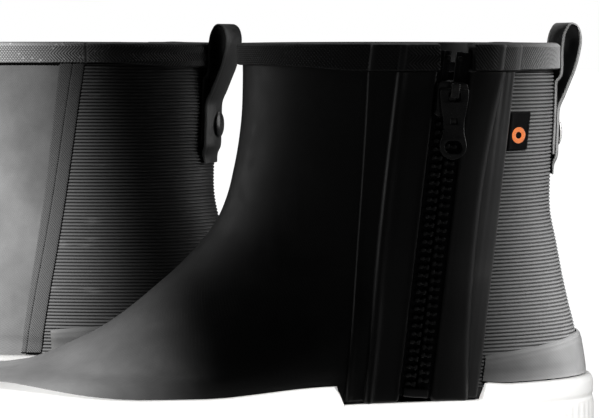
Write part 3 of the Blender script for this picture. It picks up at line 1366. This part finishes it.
def make_tread():
    """bottom layer with two rows of blocks, each block split across by a narrow gap"""
    pitch, half_block, half_gap, block_top = 13, 4, 0.45, 4.6
    middle_gap = 2.5
    rings = np.array([sole_ring(CUP_OUT + out, z + SPRING) for out, z in (
        (-2.2, 4.0), (-1.2, 4.05), (-0.1, 4.5), (0.1, 5.2), (0.15, CUP_LOW - 0.15))])
    mesh = Mesh()
    add_capped_rings(mesh, rings, uv_map(SOLE_RUN, np.arange(5.0)[:, None]))
    for x in range(-145, 64, pitch):
        low_z = float(toe_spring(x))
        high_z = block_top + low_z
        for side in (-1, 1):
            width = float(half_width(x, FEATHER_Z, side)) - 1.5
            low_y, high_y = (middle_gap, width) if side > 0 else (-width, -middle_gap)
            for start, end in ((x - half_block, x - half_gap), (x + half_gap, x + half_block)):
                add_box(mesh, (start, low_y, low_z), (end, high_y, high_z), 0.5, segments=2)
    add_box(mesh, (-11, -9, 0), (9, 9, block_top), 0.6, segments=2)
    piece("tread_unit", mesh, "tread_rubber", "outsole")


def make_footbed():
    """footbed with a rolled edge and a dished middle"""
    bottom, edge, middle_x = 18.9, INSIDE - 3.6, -50.0
    girth = np.linspace(0, 1, 240, endpoint=False)
    # height above the underside, distance in from the edge
    rings = [off_last(girth, bottom + up, edge - inward) for up, inward in (
        (0, 0), (1.4, 0), (2.6, 0.1), (3.6, 0.8), (4.2, 2.0), (4.4, 3.6))]
    x, y, z = rings[-1].T
    for share in (0.86, 0.72, 0.56, 0.4, 0.24, 0.1):
        ring_x = middle_x + (x - middle_x) * (0.35 * share + 0.65)
        dish = 1.3 * (1 - share) * smooth((ring_x + 170) / 60) * smooth((75 - ring_x) / 40)
        rings.append(np.stack([ring_x, y * share, z - dish], -1))
    rings = np.array(rings)
    around_rings = closed(rings)
    uv = np.stack([around_rings[..., 0], around_rings[..., 1] + around_rings[..., 2]], -1)
    mesh = Mesh()
    ids = mesh.tube(rings, uv, flip=False)
    # the underside and the strip down the middle, in strips from side to side
    count = len(girth)
    for j in range(count // 2):
        corners = dict.fromkeys([j, j + 1, (count - j - 1) % count, (count - j) % count])
        for ring, order in ((0, -1), (-1, 1)):
            strip = list(corners)[::order]
            mesh.face(ids[ring, strip], rings[ring, strip, :2])
    piece("sock_footbed", mesh, "footbed_fabric", "footbed")


make_sidewall()
make_tread()
make_footbed()

# CAD solids that stay as they are and only get a material
KEPT = {"shank": "spring_steel", "insole_board": "insole_board", "toe_puff": "stiffener",
        "heel_stiffener": "stiffener", "rivet_backing": "rivet_metal"}
for side in ("right", "left"):
    for name, material in KEPT.items():
        slots = frame["nodes"][f"{side}_{name}"].data.materials
        slots.clear()
        slots.append(MATERIALS[material])

# =============================================================================
# Stage, lights and camera, in metres
# =============================================================================
VIEW = np.array([0.156, 0.988, 0])      # level direction the camera looks in
VIEW = VIEW / np.linalg.norm(VIEW)
VIEW_RIGHT = np.array([VIEW[1], -VIEW[0], 0])


def seen(right, beyond, z):
    """a place to the right of, beyond and above the origin as the camera sees it"""
    place = VIEW_RIGHT * right + VIEW * beyond
    return Vector((place[0], place[1], z))


def add_aimed(name, data, place, direction):
    ob = bpy.data.objects.new(name, data)
    bpy.context.scene.collection.objects.link(ob)
    ob.location = place
    ob.rotation_euler = direction.to_track_quat("-Z", "Y").to_euler()
    return ob


def add_light(name, kind, place, target, power, **settings):
    light = bpy.data.lights.new(name, kind)
    light.energy = power
    for key, value in settings.items():
        setattr(light, key, value)
    return add_aimed(name, light, place, target - place)


def add_panel(name, place, target, width, height, power):
    return add_light(name, "AREA", place, target, power,
                     shape="RECTANGLE", size=width, size_y=height)


def make_floor():
    """white paper, evenly bright for the camera and only faintly so for the boots"""
    half = 12.0
    data = bpy.data.meshes.new("floor")
    data.from_pydata([(-half, -half, 0), (half, -half, 0), (half, half, 0), (-half, half, 0)],
                     [], [(0, 1, 2, 3)])
    floor = bpy.data.objects.new("floor", data)
    bpy.context.scene.collection.objects.link(floor)
    mat = Shader("floor_paper")
    for_boots, for_camera = 0.05, 1.05
    camera_ray = mat.node("ShaderNodeLightPath").outputs["Is Camera Ray"]
    glow = mat.node("ShaderNodeMix", {0: camera_ray, 2: for_boots, 3: for_camera},
                    data_type="FLOAT").outputs[0]
    mat.done(Base_Color=mat.blend(mat.noise(scale=40, detail=4),
                                  (0.07, 0.07, 0.07), (0.08, 0.08, 0.08)),
             Roughness=0.85, Specular_IOR_Level=0.2,
             Emission_Color=(1, 1, 1, 1), Emission_Strength=glow)
    data.materials.append(MATERIALS["floor_paper"])
    return floor


def make_world():
    """white for the camera, nearly dark for everything else"""
    world = bpy.data.worlds.new("studio")
    bpy.context.scene.world = world
    world.use_nodes = True
    nodes, links = world.node_tree.nodes, world.node_tree.links
    nodes.clear()
    output = nodes.new("ShaderNodeOutputWorld")
    blend = nodes.new("ShaderNodeMixShader")
    path = nodes.new("ShaderNodeLightPath")
    links.new(path.outputs["Is Camera Ray"], blend.inputs[0])
    for socket, colour, strength in ((1, (0.9, 0.95, 1.0, 1), 0.006), (2, (1, 1, 1, 1), 1.0)):
        background = nodes.new("ShaderNodeBackground")
        background.inputs[0].default_value = colour
        background.inputs[1].default_value = strength
        links.new(background.outputs[0], blend.inputs[socket])
    links.new(blend.outputs[0], output.inputs[0])


def add_collection(name):
    collection = bpy.data.collections.new(name)
    bpy.context.scene.collection.children.link(collection)
    return collection


def sort_parts(floor):
    """collections that the linked lights reach: dark parts of both boots, white parts,
    and dark parts of the right boot"""
    white_names = ("cup_sidewall", "tread_unit", "woven_tag_mark")
    unwashed_names = ("textile_lining", "bellows_gusset", "sock_footbed", "zip_slider_body",
                      "pull_tab_plate", "zip_chain", "zip_end_stops", "zip_tape", "woven_tag")
    washed = add_collection("washed_parts")
    white = add_collection("white_parts")
    near = add_collection("near_boot_parts")
    for ob in list(bpy.context.scene.objects):
        if ob.type != "MESH" or ob == floor:
            continue
        if ob.name.endswith(white_names):
            white.objects.link(ob)
        elif not any(part in ob.name for part in unwashed_names):
            washed.objects.link(ob)
            if ob.name.startswith("right_"):
                near.objects.link(ob)
    return washed, white, near


def make_lights(floor):
    middle = seen(-0.02, 0.05, 0.09)
    add_panel("key_left", seen(-1.35, 0.30, 0.5), middle, width=1.2, height=1.0, power=3.0)
    add_panel("key_right", seen(1.25, 0.40, 0.45), middle, width=1.1, height=1.0, power=5.0)
    add_panel("top_back", seen(0.0, 1.0, 1.2), middle, width=2.0, height=0.8, power=3.0)
    washed, white, near = sort_parts(floor)
    # soft washes on the toes and on the heel; the middle stays dark
    # name, place, target, cone angle in degrees, power, parts it reaches
    for name, place, target, cone, power, parts in (
            ("wash_toes", seen(-0.37, -0.78, 0.72), seen(-0.345, 0.06, 0.105), 26.5, 3300,
             washed),
            ("wash_heel", seen(0.36, -0.70, 0.62), seen(0.232, 0.0, 0.105), 27, 2100, washed),
            ("wash_near_toe", seen(-0.32, -0.85, 0.55), seen(-0.225, -0.06, 0.02), 19, 1250,
             near)):
        wash = add_light(name, "SPOT", place, target, power, spot_size=math.radians(cone),
                         spot_blend=1.0, shadow_soft_size=0.012)
        wash.visible_glossy = False
        wash.light_linking.receiver_collection = parts
    # a low light that reaches the white parts only
    fill = add_panel("sole_fill", seen(-0.05, -1.0, 0.30), seen(-0.05, 0.0, 0.02),
                     width=1.6, height=0.4, power=22)
    fill.light_linking.receiver_collection = white


def make_camera():
    pitch = math.radians(3.75)      # looking down
    camera = bpy.data.cameras.new("camera")
    camera.lens = 154.8
    camera.sensor_width = 36
    camera.clip_start = 0.05
    camera.clip_end = 50
    direction = Vector((VIEW[0] * math.cos(pitch), VIEW[1] * math.cos(pitch),
                        -math.sin(pitch)))
    scene = bpy.context.scene
    scene.camera = add_aimed("camera", camera, Vector((-0.1802, -0.9333, 0.163)), direction)
    scene.view_settings.view_transform = "Standard"
    scene.view_settings.look = "None"


FLOOR = make_floor()
make_world()
make_lights(FLOOR)
make_camera()
